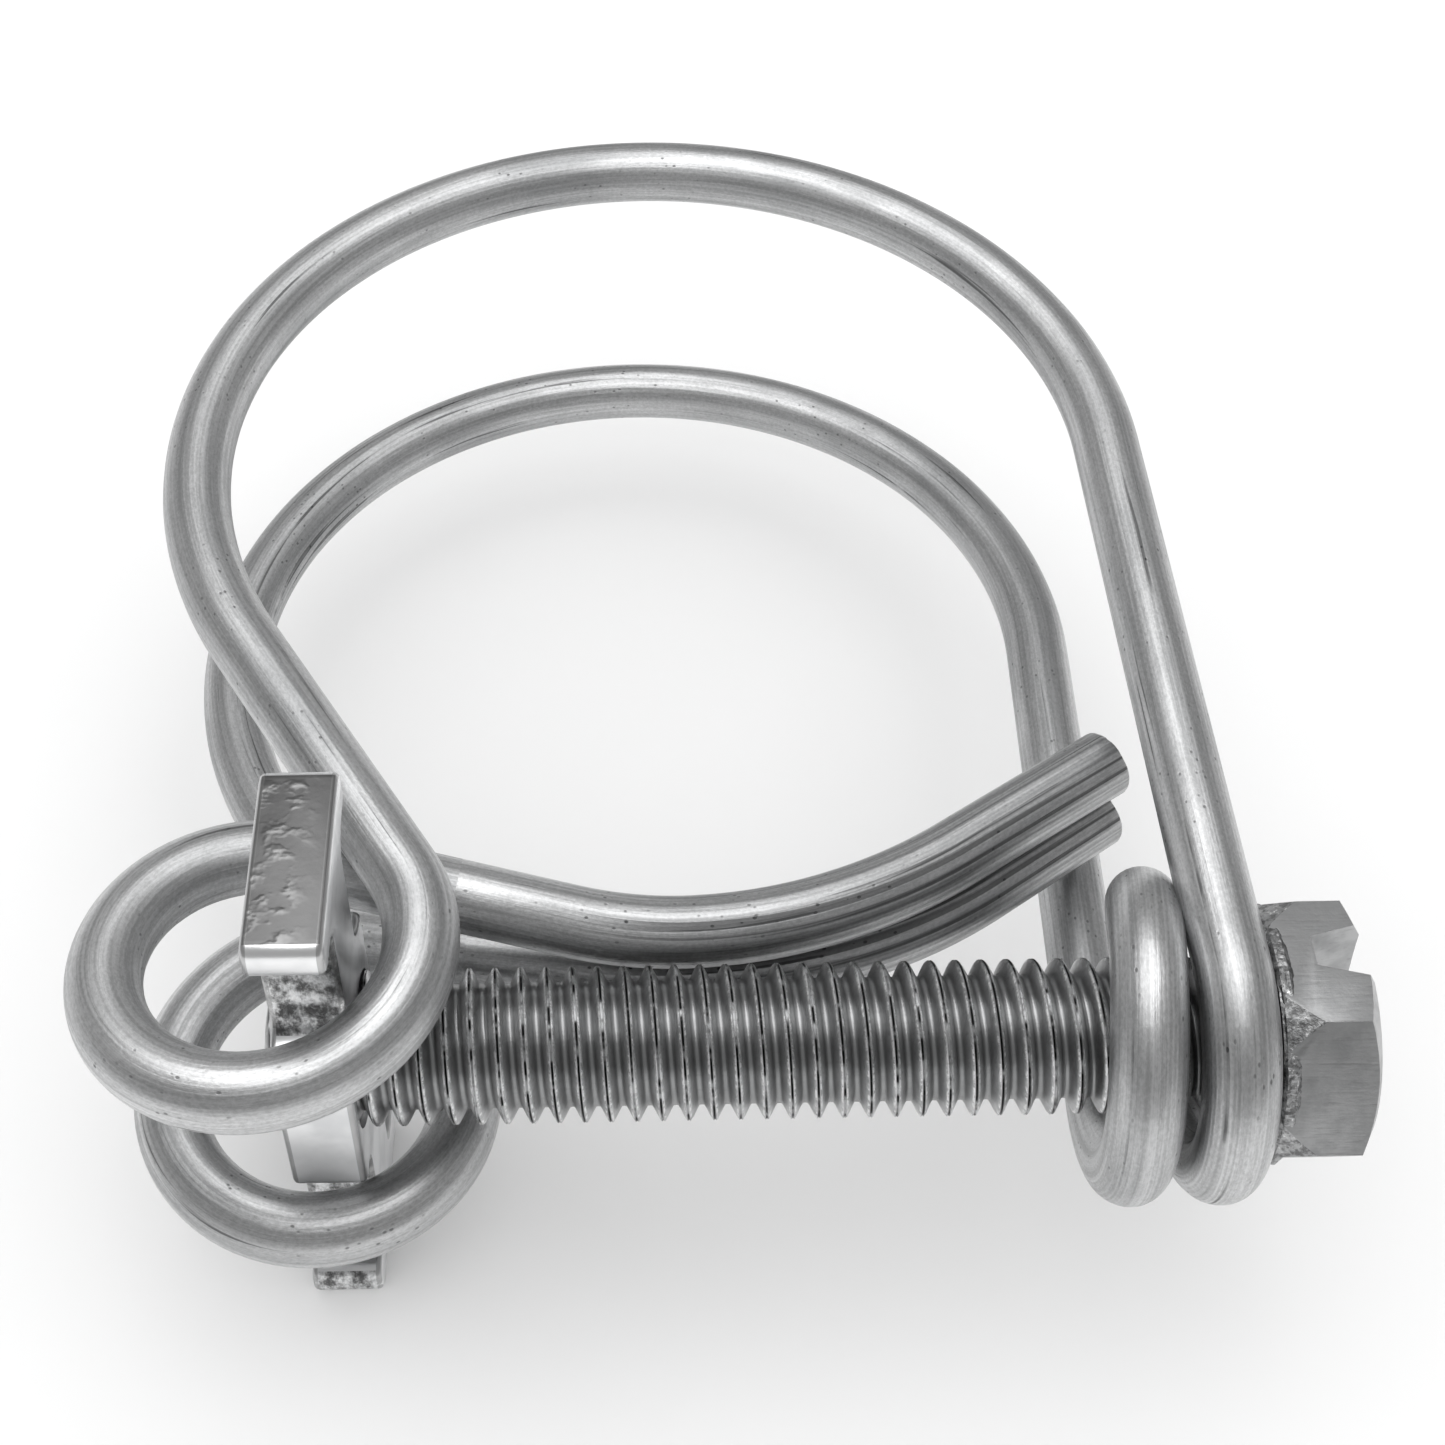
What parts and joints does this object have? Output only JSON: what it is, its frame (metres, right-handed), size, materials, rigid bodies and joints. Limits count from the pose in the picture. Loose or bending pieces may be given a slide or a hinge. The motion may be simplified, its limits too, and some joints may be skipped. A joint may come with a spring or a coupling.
{
  "type": "hose clamp",
  "caption": "Double-wire hose clamp: spring wire hoops with eyes, drawn closed by a slotted hexagon-head screw through an I-shaped plate nut.",
  "frame": {"origin": "middle of the hose passage, on the hose's axis, half-way between the two hoops", "axes": "+Z along the hose's axis, +X along the screw towards its head, -Y from the hose towards the screw"},
  "size_m": [0.049, 0.054, 0.025],
  "materials": {
    "spring_wire": "drawn and bright zinc plated",
    "screw_steel": "zinc plated, rolled thread",
    "nut_steel": "zinc plated, punched plate with sheared edges"
  },
  "bodies": {
    "coil_side": {"wire_coil_half": "spring_wire"},
    "eye_arms": {"wire_upper_arm": "spring_wire", "wire_lower_arm": "spring_wire"},
    "screw": {"clamp_screw": "screw_steel"},
    "nut": {"plate_nut": "nut_steel"}
  },
  "joints": [
    {"name": "screw_turn", "type": "hinge", "parent": "coil_side", "child": "screw", "pos_m": [0, -0.0256, 0], "axis": [-1, 0, 0], "range_deg": [0, 3240]},
    {"name": "nut_travel", "type": "slide", "parent": "coil_side", "child": "nut", "axis": [1, 0, 0], "range_m": [0, 0.009]},
    {"name": "hoops_close", "type": "hinge", "parent": "coil_side", "child": "eye_arms", "pos_m": [-0.01025, 0.01735, 0], "axis": [0, 0, 1], "range_deg": [0, 12.29]}
  ],
  "couplings": [
    {"joint": "screw_turn", "follows": "nut_travel", "rad_per_m": 6283.2},
    {"joint": "hoops_close", "follows": "nut_travel", "rad_per_m": 23.809}
  ]
}
